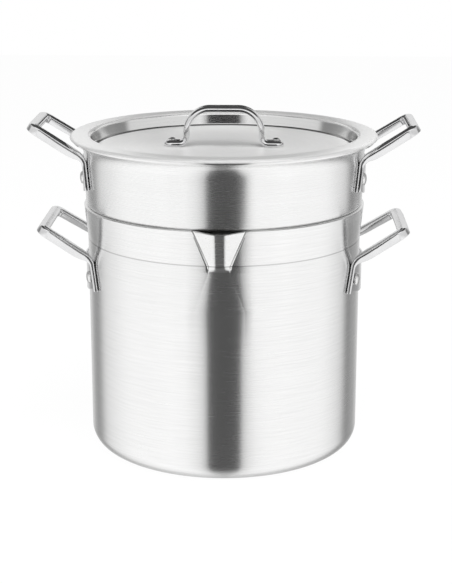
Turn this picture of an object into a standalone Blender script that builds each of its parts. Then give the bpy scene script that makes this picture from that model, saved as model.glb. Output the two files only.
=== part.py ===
# Bain-marie pot: a water pot with a pouring lip, an insert that hangs in it on its rim, and a recessed
# lid. Metres, +Z up. The pot stands on z = 0 about the Z axis, its lip points to -Y and its handles to +-X.

import math

import bmesh
import bpy
from mathutils import Matrix, Vector

# Clearances
SEAT_GAP = 0.0003  # between pieces that rest on each other
TAIL_GAP = 0.0005  # between a flat rivet tail and the round wall behind it
SHANK_GAP = 0.0003  # round a rivet's shank
NEST_GAP = 0.0012  # between the insert and the rivet tails inside the pot
PLUG_GAP = 0.002  # between the lid's recess and the insert's mouth

# Water pot
POT_RADIUS = 0.120
POT_HEIGHT = 0.2193
POT_WALL = 0.003
POT_CORNER = 0.016
COLLAR_HEIGHT = 0.0294  # the flared band below the rim
COLLAR_FLARE = 0.003
RIM_ROUND = 0.0008

# Pouring lip, pressed out of the collar
LIP_HALF_WIDTH = 0.0213
LIP_ROOT_HALF_WIDTH = 0.0088  # at the bend line below the collar
LIP_REACH = 0.0058
LIP_ROOT_REACH = 0.0018
LIP_FOOT = 0.007  # how far below the bend line it runs out
LIP_DIP = 0.0013
LIP_NOSE = 0.14  # where its flat nose ends, in half-widths
LIP_CHEEK = 0.68  # where its steep cheeks end
LIP_TOE = 0.3  # share of its reach that the shallow sides have
LIP_BLEND = 1.4  # how far the finer facets reach, in half-widths

# Insert
INSERT_WALL = 0.0025
INSERT_RISE = 0.0582  # from the pot's rim to the insert's lip
INSERT_DEPTH = 0.092  # below the pot's rim
INSERT_CORNER = 0.018
INSERT_FLARE = 0.001  # how much wider the wall is under the lip than above the shoulder
SHOULDER_OVERHANG = 0.0012  # how far the wall stands out over the pot's rim
SHOULDER_ROUND = 0.005
LEDGE_ROUND = 0.0015
NECK_ROUND = 0.003
INSERT_LIP = 0.010
INSERT_LIP_ROUND = 0.0011

# Lid
LID_SHEET = 0.002
LID_OVERHANG = 0.002
LID_RECESS = 0.012
LID_FLOOR_CORNER = 0.004
LID_RING_ROUND = 0.0015
LID_EDGE_TURN = 0.0012
LID_EDGE_ROUND = 0.0008

# Stamped side handles
HANDLE_SHEET = 0.0018
HANDLE_RISE = math.radians(31.5)
HANDLE_BEND = 0.014  # radius of the bend from the base plate to the loop
HANDLE_WEB = 0.010
HANDLE_TIP_WEB = 0.0092
HANDLE_FLANGE = 0.0080
HANDLE_HOLE_FLANGE = 0.0068
HANDLE_LEG = 0.0046  # depth of the flanges beside the base plate
HANDLE_SILL = 0.0034  # depth of the flange on the base plate's top edge
HANDLE_SHOULDER = 0.0034
HANDLE_HOLE_SHOULDER = 0.0024
HANDLE_TIP_CORNER = 0.0115
HANDLE_HOLE_CORNER = 0.007
HANDLE_HOLE_TIP_CORNER = 0.003
HANDLE_FLANGE_BLEND = 1.6  # where the flanges reach their full depth, in bend radii
HANDLE_ARM_BLEND = 1.5  # where the arms lie flat, in lengths of the bend
HANDLE_HOLE_START = 0.0025  # above the bend line
HANDLE_BEND_RISE = 0.0115  # from the rivets up to the bend line
HANDLE_LEG_DROP = 0.0085  # from the rivets down to the legs' ends
HANDLE_PLATE_DROP = 0.0165  # from the rivets down to the base plate's middle
RIVET_INSET = 0.012  # from the handle's edge to its rivets

INSERT_HANDLE_LENGTH = 0.0625
INSERT_HANDLE_FOOT = 0.047
INSERT_HANDLE_BEND = 0.042
INSERT_HANDLE_TIP = 0.037
INSERT_HANDLE_HEIGHT = 0.026  # of its rivets above the pot's rim

POT_HANDLE_LENGTH = 0.0605
POT_HANDLE_FOOT = 0.058
POT_HANDLE_BEND = 0.051
POT_HANDLE_TIP = 0.0445
POT_HANDLE_DROP = 0.0603  # of its rivets below the rim

# Rivets
RIVET_HEAD = 0.0055
RIVET_CROWN = 0.0028
RIVET_SHANK = 0.003
RIVET_TAIL = 0.0045
RIVET_TAIL_HEIGHT = 0.0016

# Lid handle, a bent strap with its edges turned in
STRAP_SHEET = 0.002
STRAP_WIDTH = 0.0144
STRAP_CROWN = 0.003
STRAP_SPAN = 0.0707
STRAP_LENGTH = 0.105
STRAP_HEIGHT = 0.0355
STRAP_CORNER = 0.023
STRAP_FOOT_BEND = 0.0035
LID_RIVET_HEAD = 0.0034
LID_RIVET_CROWN = 0.0018
LID_RIVET_SHANK = 0.0019
LID_RIVET_TAIL = 0.0034
LID_RIVET_TAIL_HEIGHT = 0.0012

# Facets
MERGE_DISTANCE = 0.00001  # points closer than this are one
SHARP_ANGLE = math.radians(38)  # edges that turn more stay sharp
ROUND_STEPS = 56
LIP_STEPS = 14
RIVET_STEPS = 12

# Sizes that follow from those above
RIM_INNER = POT_RADIUS + COLLAR_FLARE - POT_WALL
COLLAR_TILT = math.atan2(COLLAR_FLARE, COLLAR_HEIGHT)
POT_TAIL_INNER = POT_RADIUS - POT_WALL - TAIL_GAP - RIVET_TAIL_HEIGHT
NEST_RADIUS = POT_TAIL_INNER - NEST_GAP
INSERT_RADIUS = RIM_INNER + SHOULDER_OVERHANG
INSERT_TOP_RADIUS = INSERT_RADIUS + INSERT_FLARE
LID_RADIUS = INSERT_TOP_RADIUS + INSERT_LIP + LID_OVERHANG
PLUG_RADIUS = INSERT_TOP_RADIUS - INSERT_WALL - PLUG_GAP
LID_TOP = SEAT_GAP + LID_SHEET
LID_FLOOR = LID_TOP - LID_RECESS
SHOULDER_X = INSERT_RADIUS - SHOULDER_ROUND
SHOULDER_Z = -RIM_ROUND + math.sqrt(
    (SHOULDER_ROUND + RIM_ROUND + SEAT_GAP) ** 2 - (RIM_INNER + RIM_ROUND - SHOULDER_X) ** 2
)
NECK_Z = INSERT_RISE - INSERT_WALL - NECK_ROUND


# Sections of turned sheet


def turn(x, z, radius, start, end, steps):
    # Stations round an arc of a sheet's outer face, each a point and the face's normal there.
    side = 1 if end > start else -1
    stations = []
    for step in range(steps + 1):
        angle = math.radians(start + (end - start) * step / steps)
        outward = Vector((math.cos(angle), math.sin(angle)))
        stations.append((Vector((x, z)) + outward * radius, outward * side))
    return stations


def rounded_edge(outer, inner, edge_round):
    # The sheet's free edge, with both its corners taken off.
    across = (inner - outer).normalized()
    along = Vector((-across.y, across.x)) * -1
    points = [outer - along * edge_round, outer + across * edge_round]
    points += [inner - across * edge_round, inner - along * edge_round]
    return points


def sheet_section(base_height, stations, thickness, edge_round):
    # Out along the sheet's outer face from the axis, round its free edge and back along its inner face.
    outer = [point for point, normal in stations]
    inner = [point - normal * thickness for point, normal in stations]
    edge = rounded_edge(outer[-1], inner[-1], edge_round)
    start = Vector((0, base_height))
    end = Vector((0, base_height + thickness))
    return [start] + outer[:-1] + edge + inner[-2::-1] + [end]


def pot_section():
    stations = turn(POT_RADIUS - POT_CORNER, POT_CORNER, POT_CORNER, -90, 0, 3)
    level = Vector((math.cos(COLLAR_TILT), -math.sin(COLLAR_TILT)))
    bend = Vector((POT_RADIUS, POT_HEIGHT - COLLAR_HEIGHT))
    rim = Vector((POT_RADIUS + COLLAR_FLARE, POT_HEIGHT))
    stations.append((bend - Vector((0, LIP_FOOT)), Vector((1, 0))))
    for share in (0, 0.4, 0.75, 1):
        stations.append((bend.lerp(rim, share), level))
    return sheet_section(0, stations, POT_WALL, RIM_ROUND)


def insert_section():
    # Heights are above the pot's rim.
    base = -INSERT_DEPTH
    corner_x = NEST_RADIUS - INSERT_CORNER
    ledge = SHOULDER_Z - SHOULDER_ROUND
    stations = turn(corner_x, base + INSERT_CORNER, INSERT_CORNER, -90, 0, 2)
    stations += turn(NEST_RADIUS + LEDGE_ROUND, ledge - LEDGE_ROUND, LEDGE_ROUND, 180, 90, 1)
    stations += turn(SHOULDER_X, SHOULDER_Z, SHOULDER_ROUND, -90, 0, 3)
    stations += turn(INSERT_TOP_RADIUS + NECK_ROUND, NECK_Z, NECK_ROUND, 180, 90, 2)
    lip_end = Vector((INSERT_TOP_RADIUS + INSERT_LIP, INSERT_RISE - INSERT_WALL))
    stations.append((lip_end, Vector((0, -1))))
    return sheet_section(base, stations, INSERT_WALL, INSERT_LIP_ROUND)


def lid_section():
    # Heights are above the insert's lip.
    under_floor = LID_FLOOR - LID_SHEET
    corner_x = PLUG_RADIUS - LID_FLOOR_CORNER
    ring_x = PLUG_RADIUS + LID_RING_ROUND
    edge_x = LID_RADIUS - LID_SHEET - LID_EDGE_TURN
    stations = turn(corner_x, under_floor + LID_FLOOR_CORNER, LID_FLOOR_CORNER, -90, 0, 2)
    stations += turn(ring_x, SEAT_GAP - LID_RING_ROUND, LID_RING_ROUND, 180, 90, 2)
    stations += turn(edge_x, SEAT_GAP - LID_EDGE_TURN, LID_EDGE_TURN, 90, 10, 2)
    return sheet_section(under_floor, stations, LID_SHEET, LID_EDGE_ROUND)


def rivet_section(head, crown, shank, tail, tail_height, grip):
    # The head's underside is at z = 0 and the tail's is a grip below it.
    points = [(0, -grip - tail_height), (tail * 0.75, -grip - tail_height)]
    points += [(tail, -grip), (shank, -grip), (shank, 0)]
    points += [(head, 0), (head, crown * 0.25), (head * 0.68, crown * 0.82)]
    points.append((0, crown))
    return [Vector(point) for point in points]


# Solids from sections


def spun(section, turns):
    # Spins the section about Z through each (angle, steps) of turns in order, from the -Y side on.
    form = bmesh.new()
    start = -math.pi / 2 + (turns[-1][0] / 2 if len(turns) > 1 else 0)
    verts = []
    for point in section:
        verts.append(form.verts.new((point.x * math.cos(start), point.x * math.sin(start), point.y)))
    edges = [form.edges.new(pair) for pair in zip(verts, verts[1:])]
    last = verts + edges
    for angle, steps in turns:
        made = bmesh.ops.spin(form, geom=last, axis=(0, 0, 1), cent=(0, 0, 0), angle=angle, steps=steps)
        last = made["geom_last"]
    bmesh.ops.remove_doubles(form, verts=form.verts, dist=MERGE_DISTANCE)
    bmesh.ops.recalc_face_normals(form, faces=form.faces)
    return form


def lip_crest(spread):
    # 1 at the lip's flat nose and 0 at its creases, with steep cheeks and shallow sides between them.
    cheek = min(1, max(0, (spread - LIP_NOSE) / (LIP_CHEEK - LIP_NOSE)))
    return LIP_TOE * (1 - spread**2) + (1 - LIP_TOE) * (1 - cheek**2 * (3 - 2 * cheek))


def press_pouring_lip(form):
    # Draws the facets in towards the lip's root, so that its creases follow their edges, and pushes it out.
    for vert in form.verts:
        above = vert.co.z - POT_HEIGHT + COLLAR_HEIGHT
        angle = math.atan2(vert.co.x, -vert.co.y)
        spread = abs(angle) * POT_RADIUS / LIP_HALF_WIDTH
        if above < -LIP_FOOT - MERGE_DISTANCE or spread >= LIP_BLEND:
            continue
        rise = max(0, above / COLLAR_HEIGHT)
        narrow = (LIP_ROOT_HALF_WIDTH + (LIP_HALF_WIDTH - LIP_ROOT_HALF_WIDTH) * rise) / LIP_HALF_WIDTH
        if spread > 1:
            narrow += (1 - narrow) * (spread - 1) / (LIP_BLEND - 1)
        run_out = min(1, max(0, 1 + above / LIP_FOOT))
        reach = (LIP_ROOT_REACH + (LIP_REACH - LIP_ROOT_REACH) * rise) * run_out
        crest = lip_crest(min(1, spread))
        radius = vert.co.xy.length + reach * crest
        vert.co.x = radius * math.sin(angle * narrow)
        vert.co.y = -radius * math.cos(angle * narrow)
        vert.co.z -= LIP_DIP * crest * rise


# Stamped side handles


def handle_half_width(along, foot, bend, tip, length):
    # Half the blank's width at a distance above the bend line.
    if along < 0:
        return bend + (foot - bend) * -along / (HANDLE_BEND_RISE + HANDLE_LEG_DROP)
    return bend + (tip - bend) * along / length


def loop_stations(foot, bend, tip, length):
    # Outer and hole points of the blank's loop, from the base plate up one arm to the tip's corner.
    def half(along):
        return handle_half_width(along, foot, bend, tip, length)

    pairs = []
    for step in range(1, 4):
        angle = math.pi / 6 * step
        along = HANDLE_HOLE_START + HANDLE_HOLE_CORNER * (1 - math.cos(angle))
        inset = HANDLE_WEB + HANDLE_HOLE_CORNER * (1 - math.sin(angle))
        pairs.append(((along, half(along)), (along, half(along) - inset)))
    first = HANDLE_BEND * (math.pi / 2 - HANDLE_RISE)
    last = length - HANDLE_TIP_CORNER
    for share in (0, 0.2, 0.6):
        along = first + (last - first) * share
        pairs.append(((along, half(along)), (along, half(along) - HANDLE_WEB)))
    hole_along = length - HANDLE_TIP_WEB - HANDLE_HOLE_TIP_CORNER
    hole_side = half(hole_along) - HANDLE_WEB - HANDLE_HOLE_TIP_CORNER
    side = half(last) - HANDLE_TIP_CORNER
    for step in range(5):
        angle = math.pi / 8 * step
        reach = Vector((math.sin(angle), math.cos(angle)))
        outer = Vector((last, side)) + reach * HANDLE_TIP_CORNER
        hole = Vector((hole_along, hole_side)) + reach * HANDLE_HOLE_TIP_CORNER
        pairs.append((tuple(outer), tuple(hole)))
    return pairs


def handle_blank(foot, bend, tip, length):
    # The flat blank in (along, across), its edges folded down. Returns the sheet's outer face.
    form = bmesh.new()
    rows = 3
    columns = 8
    leg_end = -HANDLE_BEND_RISE - HANDLE_LEG_DROP
    middle_end = -HANDLE_BEND_RISE - HANDLE_PLATE_DROP
    grid = []
    for row in range(rows + 1):
        share = row / rows
        line = []
        for column in range(-1, columns + 2):
            across = max(-1, min(1, column * 2 / columns - 1))
            bottom = leg_end + (middle_end - leg_end) * (1 - across**2)
            along = bottom + (HANDLE_HOLE_START - bottom) * share
            half = handle_half_width(along, foot, bend, tip, length)
            if 0 <= column <= columns:
                half -= HANDLE_WEB + HANDLE_HOLE_CORNER * share
            line.append(form.verts.new((along, across * half, 0)))
        grid.append(line)
    for low, high in zip(grid, grid[1:]):
        for index in range(len(low) - 1):
            form.faces.new((low[index], high[index], high[index + 1], low[index + 1]))

    pairs = loop_stations(foot, bend, tip, length)
    arch = [(grid[-1][-1], grid[-1][-2])]
    for outer, hole in pairs:
        arch.append((form.verts.new((*outer, 0)), form.verts.new((*hole, 0))))
    for outer, hole in reversed(pairs):
        arch.append((form.verts.new((outer[0], -outer[1], 0)), form.verts.new((hole[0], -hole[1], 0))))
    arch.append((grid[-1][0], grid[-1][1]))
    for (outer, hole), (next_outer, next_hole) in zip(arch, arch[1:]):
        form.faces.new((outer, hole, next_hole, next_outer))

    outer_line = [line[-1] for line in grid] + [outer for outer, hole in arch[1:-1]]
    outer_line += [line[0] for line in reversed(grid)]
    hole_line = grid[-1][1:-1] + [hole for outer, hole in arch[1:-1]] + [grid[-1][1]]
    fold_down(form, outer_line, HANDLE_LEG, HANDLE_FLANGE, HANDLE_SHOULDER)
    fold_down(form, hole_line[::-1], HANDLE_SILL, HANDLE_HOLE_FLANGE, HANDLE_HOLE_SHOULDER)
    bmesh.ops.recalc_face_normals(form, faces=form.faces)
    web = max(form.faces, key=lambda face: abs(face.normal.z) * face.calc_area())
    if web.normal.z < 0:
        bmesh.ops.reverse_faces(form, faces=form.faces)
    return form


def edge_miters(line):
    # For each vertex of a line, how far it moves in the plane to push both its edges out to the left by 1.
    closed = line[0] == line[-1]
    lefts = []
    for start, end in zip(line, line[1:]):
        run = (end.co - start.co).normalized()
        lefts.append(Vector((-run.y, run.x, 0)))
    miters = []
    for before, after in zip([lefts[-1 if closed else 0]] + lefts, lefts + [lefts[0 if closed else -1]]):
        miters.append((before + after) / (1 + before.dot(after)))
    return miters


def fold_down(form, line, low_depth, high_depth, fold_radius):
    # Turns the web's edge down on a rounded fold. Its flange has one depth beside the base plate and
    # another round the loop. The flange lies to the left of the line.
    closed = line[0] == line[-1]
    miters = edge_miters(line)
    columns = []
    for vert, miter in list(zip(line, miters))[: -1 if closed else None]:
        share = smooth_step(vert.co.x / (HANDLE_BEND * HANDLE_FLANGE_BLEND))
        depth = low_depth + (high_depth - low_depth) * share
        edge = vert.co.copy()
        vert.co = edge - miter * fold_radius
        column = [vert]
        for angle in (math.pi / 4, math.pi / 2):
            inset = miter * fold_radius * (1 - math.sin(angle))
            drop = Vector((0, 0, fold_radius * (1 - math.cos(angle))))
            column.append(form.verts.new(edge - inset - drop))
        column.append(form.verts.new(edge - Vector((0, 0, depth))))
        columns.append(column)
    if closed:
        columns.append(columns[0])
    for column, after in zip(columns, columns[1:]):
        for step in range(len(column) - 1):
            form.faces.new((column[step], column[step + 1], after[step + 1], after[step]))


def smooth_step(share):
    share = max(0, min(1, share))
    return share * share * (3 - 2 * share)


def bend_handle(form, bend_height, wall_radius, arm_across):
    # Wraps the base plate round the wall and turns the loop, which stays flat, out and up.
    turn_angle = math.pi / 2 - HANDLE_RISE
    turn_length = HANDLE_BEND * turn_angle
    for vert in form.verts:
        along, across, drop = vert.co.x, vert.co.y, -vert.co.z
        angle = max(0, min(turn_angle, along / HANDLE_BEND))
        straight = max(0, along - turn_length)
        height = bend_height + min(0, along) + HANDLE_BEND * math.sin(angle)
        reach = HANDLE_BEND * (1 - math.cos(angle)) + straight * math.cos(HANDLE_RISE)
        height += straight * math.sin(HANDLE_RISE)
        radius = wall_radius(min(height, bend_height)) + SEAT_GAP
        share = smooth_step(along / (turn_length * HANDLE_ARM_BLEND))
        wall = math.sqrt(radius**2 - across**2)
        level = math.sqrt(radius**2 - arm_across**2)
        out = wall + (level - wall) * share + reach + drop * math.cos(angle)
        vert.co = (out, across, height - drop * math.sin(angle))


def side_handle_mesh(name, foot, bend, tip, length, rivet_height, wall_radius):
    blank = handle_blank(foot, bend, tip, length)
    flat_mesh = bpy.data.meshes.new(name + "_flat")
    blank.to_mesh(flat_mesh)
    blank.free()
    flat = bpy.data.objects.new(name + "_flat", flat_mesh)
    bpy.context.scene.collection.objects.link(flat)
    sheet = flat.modifiers.new("sheet", "SOLIDIFY")
    sheet.thickness = HANDLE_SHEET
    sheet.offset = -1
    sheet.use_even_offset = True
    bent = bmesh.new()
    bent.from_object(flat, bpy.context.evaluated_depsgraph_get())
    bpy.data.objects.remove(flat)
    bpy.data.meshes.remove(flat_mesh)
    bend_handle(bent, rivet_height + HANDLE_BEND_RISE, wall_radius, bend - HANDLE_WEB / 2)
    bmesh.ops.recalc_face_normals(bent, faces=bent.faces)
    return finished_mesh(name, bent)


# Lid handle


def strap_stations():
    # The strap's underside from one foot's end to the other: point, normal, share of the width, and how far
    # the section is turned down at the foot's round end.
    foot_height = LID_FLOOR + SEAT_GAP + STRAP_CROWN
    top = LID_FLOOR + STRAP_HEIGHT
    side = STRAP_SPAN / 2
    end_centre = STRAP_LENGTH / 2 - STRAP_WIDTH / 2
    down = Vector((0, -1))
    stations = []
    for angle, fall in ((20, 1), (42, 0.25), (66, 0.03)):
        x = -end_centre - STRAP_WIDTH / 2 * math.cos(math.radians(angle))
        stations.append((Vector((x, foot_height)), down, math.sin(math.radians(angle)), fall))
    lower_radius = STRAP_FOOT_BEND + STRAP_SHEET
    lower = turn(-side - STRAP_FOOT_BEND, foot_height + lower_radius, lower_radius, -90, 0, 3)
    upper_radius = STRAP_CORNER - STRAP_SHEET
    upper = turn(-side + STRAP_CORNER, top - STRAP_CORNER, upper_radius, 180, 90, 5)
    stations += [(point, normal, 1, 0) for point, normal in lower + upper]
    for point, normal, width, fall in reversed(list(stations)):
        stations.append((Vector((-point.x, point.y)), Vector((-normal.x, normal.y)), width, fall))
    return stations


def strap_form():
    form = bmesh.new()
    rings = []
    shares = (-1, -0.86, -0.5, 0, 0.5, 0.86, 1)
    for point, normal, width, fall in strap_stations():
        ring = []
        for lift, row in ((STRAP_SHEET, shares), (0, reversed(shares))):
            for share in row:
                place = point + normal * (STRAP_CROWN * max(share**4, fall) - lift)
                ring.append(form.verts.new((place.x, share * width * STRAP_WIDTH / 2, place.y)))
        rings.append(ring)
    for ring, next_ring in zip(rings, rings[1:]):
        for index in range(len(ring)):
            after = (index + 1) % len(ring)
            form.faces.new((ring[index], ring[after], next_ring[after], next_ring[index]))
    form.faces.new(rings[0])
    form.faces.new(rings[-1])
    bmesh.ops.recalc_face_normals(form, faces=form.faces)
    return form


# Objects


def metal(name, colour, roughness):
    material = bpy.data.materials.new(name)
    material.use_nodes = True
    shader = material.node_tree.nodes["Principled BSDF"]
    shader.inputs["Base Color"].default_value = (*colour, 1)
    shader.inputs["Roughness"].default_value = roughness
    shader.inputs["Metallic"].default_value = 1
    return material


def brushed_aluminium(name):
    return metal(name, (0.78, 0.78, 0.77), 0.34)


def spun_aluminium(name):
    return metal(name, (0.82, 0.81, 0.80), 0.30)


def plated_steel(name):
    return metal(name, (0.70, 0.70, 0.71), 0.12)


def rivet_aluminium(name):
    return metal(name, (0.74, 0.74, 0.73), 0.28)


def finished_mesh(name, form):
    mesh = bpy.data.meshes.new(name)
    form.to_mesh(mesh)
    form.free()
    mesh.shade_smooth()
    mesh.set_sharp_from_angle(angle=SHARP_ANGLE)
    return mesh


def placed(name, mesh, material, parent):
    piece = bpy.data.objects.new(name, mesh)
    piece.data.materials.append(material)
    piece.parent = parent
    bpy.context.scene.collection.objects.link(piece)
    return piece


def lift_point(name, parent, height):
    # An empty on the Z axis that carries the pieces which lift off together.
    point = bpy.data.objects.new(name, None)
    point.location.z = height
    point.parent = parent
    bpy.context.scene.collection.objects.link(point)
    return point


def rivet_cutter(name, places, radius, length, parent):
    # One cylinder for each place, which clears the wall and the piece riveted to it.
    form = bmesh.new()
    for place in places:
        bmesh.ops.create_cone(
            form,
            cap_ends=True,
            segments=RIVET_STEPS,
            radius1=radius + SHANK_GAP,
            radius2=radius + SHANK_GAP,
            depth=length,
            matrix=place,
        )
    mesh = bpy.data.meshes.new(name)
    form.to_mesh(mesh)
    form.free()
    cutter = bpy.data.objects.new(name, mesh)
    cutter.hide_render = True
    cutter.display_type = "WIRE"
    cutter.parent = parent
    bpy.context.scene.collection.objects.link(cutter)
    return cutter


def drill(piece, cutter):
    bore = piece.modifiers.new("rivet holes", "BOOLEAN")
    bore.operation = "DIFFERENCE"
    bore.solver = "EXACT"
    bore.object = cutter


def radial_place(azimuth, radius, height):
    # A frame on the wall whose Z points straight out from the axis.
    where = Matrix.Translation((radius * math.cos(azimuth), radius * math.sin(azimuth), height))
    return where @ Matrix.Rotation(azimuth, 4, "Z") @ Matrix.Rotation(math.pi / 2, 4, "Y")


def riveted_handles(prefix, pot, parent, wall, sizes, height, wall_radius):
    # Two handles on opposite sides, each held by two rivets through the pot's wall.
    foot, bend, tip, length = sizes
    mesh = side_handle_mesh(prefix + "_handle", foot, bend, tip, length, height, wall_radius)
    radius = wall_radius(height)
    spread = math.asin((bend - RIVET_INSET) / radius)
    grip = wall + SEAT_GAP + HANDLE_SHEET + SEAT_GAP + TAIL_GAP
    section = rivet_section(RIVET_HEAD, RIVET_CROWN, RIVET_SHANK, RIVET_TAIL, RIVET_TAIL_HEIGHT, grip)
    rivet_mesh = finished_mesh(prefix + "_rivet", spun(section, [(math.tau, RIVET_STEPS)]))
    places = []
    for side, facing in (("right", 0), ("left", math.pi)):
        handle = placed(f"{prefix}_handle_{side}", mesh, plated_steel(f"{prefix}_handle_{side}"), parent)
        handle.rotation_euler.z = facing
        for end, angle in (("front", -spread), ("back", spread)):
            azimuth = facing + (angle if side == "right" else -angle)
            name = f"{prefix}_rivet_{side}_{end}"
            rivet = placed(name, rivet_mesh, rivet_aluminium(name), parent)
            rivet.matrix_local = radial_place(azimuth, radius + 2 * SEAT_GAP + HANDLE_SHEET, height)
            places.append(radial_place(azimuth, radius, height))
    bores = rivet_cutter(prefix + "_rivet_bores", places, RIVET_SHANK, 6 * wall, parent)
    for piece in (pot, *(child for child in bpy.data.objects if child.name.startswith(prefix + "_handle"))):
        drill(piece, bores)


def make_water_pot():
    form = spun(pot_section(), pot_turns())
    press_pouring_lip(form)
    pot = placed("lower_pot", finished_mesh("lower_pot", form), brushed_aluminium("lower_pot"), None)
    sizes = (POT_HANDLE_FOOT, POT_HANDLE_BEND, POT_HANDLE_TIP, POT_HANDLE_LENGTH)
    height = POT_HEIGHT - POT_HANDLE_DROP
    riveted_handles("lower", pot, None, POT_WALL, sizes, height, lambda z: POT_RADIUS)


def pot_turns():
    # Steps of the spin, finer across the pouring lip.
    lip_angle = 2 * LIP_BLEND * LIP_HALF_WIDTH / POT_RADIUS
    return [(math.tau - lip_angle, ROUND_STEPS - 4), (lip_angle, LIP_STEPS)]


def insert_wall_radius(height):
    share = (height - SHOULDER_Z) / (NECK_Z - SHOULDER_Z)
    return INSERT_RADIUS + (INSERT_TOP_RADIUS - INSERT_RADIUS) * share


def make_insert(seat):
    form = spun(insert_section(), [(math.tau, ROUND_STEPS)])
    insert = placed("insert_pot", finished_mesh("insert_pot", form), brushed_aluminium("insert_pot"), seat)
    sizes = (INSERT_HANDLE_FOOT, INSERT_HANDLE_BEND, INSERT_HANDLE_TIP, INSERT_HANDLE_LENGTH)
    riveted_handles("insert", insert, seat, INSERT_WALL, sizes, INSERT_HANDLE_HEIGHT, insert_wall_radius)


def make_lid(seat):
    form = spun(lid_section(), [(math.tau, ROUND_STEPS)])
    lid = placed("lid", finished_mesh("lid", form), spun_aluminium("lid"), seat)
    handle = placed("lid_handle", finished_mesh("lid_handle", strap_form()), plated_steel("lid_handle"), seat)
    rivet_x = (STRAP_LENGTH / 2 + STRAP_SPAN / 2 + STRAP_FOOT_BEND) / 2
    foot_top = LID_FLOOR + SEAT_GAP + STRAP_CROWN + STRAP_SHEET
    grip = foot_top + SEAT_GAP - LID_FLOOR + LID_SHEET + SEAT_GAP
    section = rivet_section(
        LID_RIVET_HEAD, LID_RIVET_CROWN, LID_RIVET_SHANK, LID_RIVET_TAIL, LID_RIVET_TAIL_HEIGHT, grip
    )
    rivet_mesh = finished_mesh("lid_rivet", spun(section, [(math.tau, RIVET_STEPS)]))
    places = []
    for name, x in (("lid_rivet_left", -rivet_x), ("lid_rivet_right", rivet_x)):
        rivet = placed(name, rivet_mesh, rivet_aluminium(name), seat)
        rivet.location = (x, 0, foot_top + SEAT_GAP)
        places.append(Matrix.Translation((x, 0, LID_FLOOR)))
    bores = rivet_cutter("lid_rivet_bores", places, LID_RIVET_SHANK, 3 * grip, seat)
    drill(lid, bores)
    drill(handle, bores)


def main():
    for old in list(bpy.data.objects):
        bpy.data.objects.remove(old)
    make_water_pot()
    insert_seat = lift_point("insert_seat", None, POT_HEIGHT)
    make_insert(insert_seat)
    lid_seat = lift_point("lid_seat", insert_seat, INSERT_RISE)
    make_lid(lid_seat)


main()
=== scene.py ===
import math

import bmesh
import bpy
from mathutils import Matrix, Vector


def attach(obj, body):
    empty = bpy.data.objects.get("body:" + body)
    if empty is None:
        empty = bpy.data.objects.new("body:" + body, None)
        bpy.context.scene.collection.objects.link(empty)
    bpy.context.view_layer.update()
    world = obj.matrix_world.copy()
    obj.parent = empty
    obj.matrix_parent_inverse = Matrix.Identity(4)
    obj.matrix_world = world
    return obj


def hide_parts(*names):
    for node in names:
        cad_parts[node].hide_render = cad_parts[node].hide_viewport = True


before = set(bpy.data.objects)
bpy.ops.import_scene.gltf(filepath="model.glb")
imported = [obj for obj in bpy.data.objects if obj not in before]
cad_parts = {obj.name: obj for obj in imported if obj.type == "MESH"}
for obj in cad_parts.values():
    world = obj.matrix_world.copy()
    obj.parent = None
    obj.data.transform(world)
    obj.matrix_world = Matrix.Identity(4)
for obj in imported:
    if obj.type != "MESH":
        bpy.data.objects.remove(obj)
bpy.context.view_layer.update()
print("frame loaded")

# everything is in metres, the pot stands on z = 0 and its pouring lip points to -Y

fitUp = {"seatGap": 0.0003, "tailGap": 0.0005}


# drawing and turning

def selectOnly(piece):
    bpy.ops.object.select_all(action="DESELECT")
    piece.select_set(True)
    bpy.context.view_layer.objects.active = piece


def onWholeMesh(operator, **settings):
    bpy.ops.object.mode_set(mode="EDIT")
    bpy.ops.mesh.select_all(action="SELECT")
    operator(**settings)
    bpy.ops.object.mode_set(mode="OBJECT")


def addPlane(name, size, place=(0, 0, 0)):
    bpy.ops.object.select_all(action="DESELECT")
    bpy.ops.mesh.primitive_plane_add(size=size, location=place)
    plane = bpy.context.active_object
    plane.name = name
    plane.data.name = name
    return plane


def newPiece(name):
    # a small plane merged to one point, to draw from
    piece = addPlane(name, 0.01)
    bpy.ops.object.mode_set(mode="EDIT")
    bpy.ops.mesh.select_all(action="SELECT")
    bpy.ops.mesh.merge(type="CENTER")
    return piece


def drawPath(points):
    # one edge after another from the selected point at the origin
    bpy.ops.transform.translate(value=Vector(points[0]))
    for start, end in zip(points, points[1:]):
        move = Vector(end) - Vector(start)
        bpy.ops.mesh.extrude_region_move(TRANSFORM_OT_translate={"value": move})


def arcPoints(x, z, radius, start, end, steps):
    points = []
    for step in range(steps + 1):
        angle = math.radians(start + (end - start) * step / steps)
        points.append((x + radius * math.cos(angle), z + radius * math.sin(angle)))
    return points


def between(start, end, steps):
    # points after start up to end
    return [
        (start[0] + (end[0] - start[0]) * step / steps, start[1] + (end[1] - start[1]) * step / steps)
        for step in range(1, steps + 1)
    ]


def turnPiece(name, profile, sectors):
    # spins a profile of (radius, height) clockwise about Z, through each (angle, steps) in turn
    piece = newPiece(name)
    start = -math.pi / 2 + sectors[0][0] / 2
    drawPath([(radius * math.cos(start), radius * math.sin(start), height) for radius, height in profile])
    bpy.ops.mesh.select_all(action="SELECT")
    for angle, steps in sectors:
        bpy.ops.mesh.spin(steps=steps, angle=angle, center=(0, 0, 0), axis=(0, 0, 1))
    bpy.ops.mesh.select_all(action="SELECT")
    bpy.ops.mesh.remove_doubles(threshold=0.00002)
    bpy.ops.mesh.normals_make_consistent(inside=False)
    bpy.ops.object.mode_set(mode="OBJECT")
    return piece


def applyModifier(piece, kind, **settings):
    selectOnly(piece)
    modifier = piece.modifiers.new(kind.lower(), kind)
    for setting, value in settings.items():
        setattr(modifier, setting, value)
    bpy.ops.object.modifier_apply(modifier=modifier.name)


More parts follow.
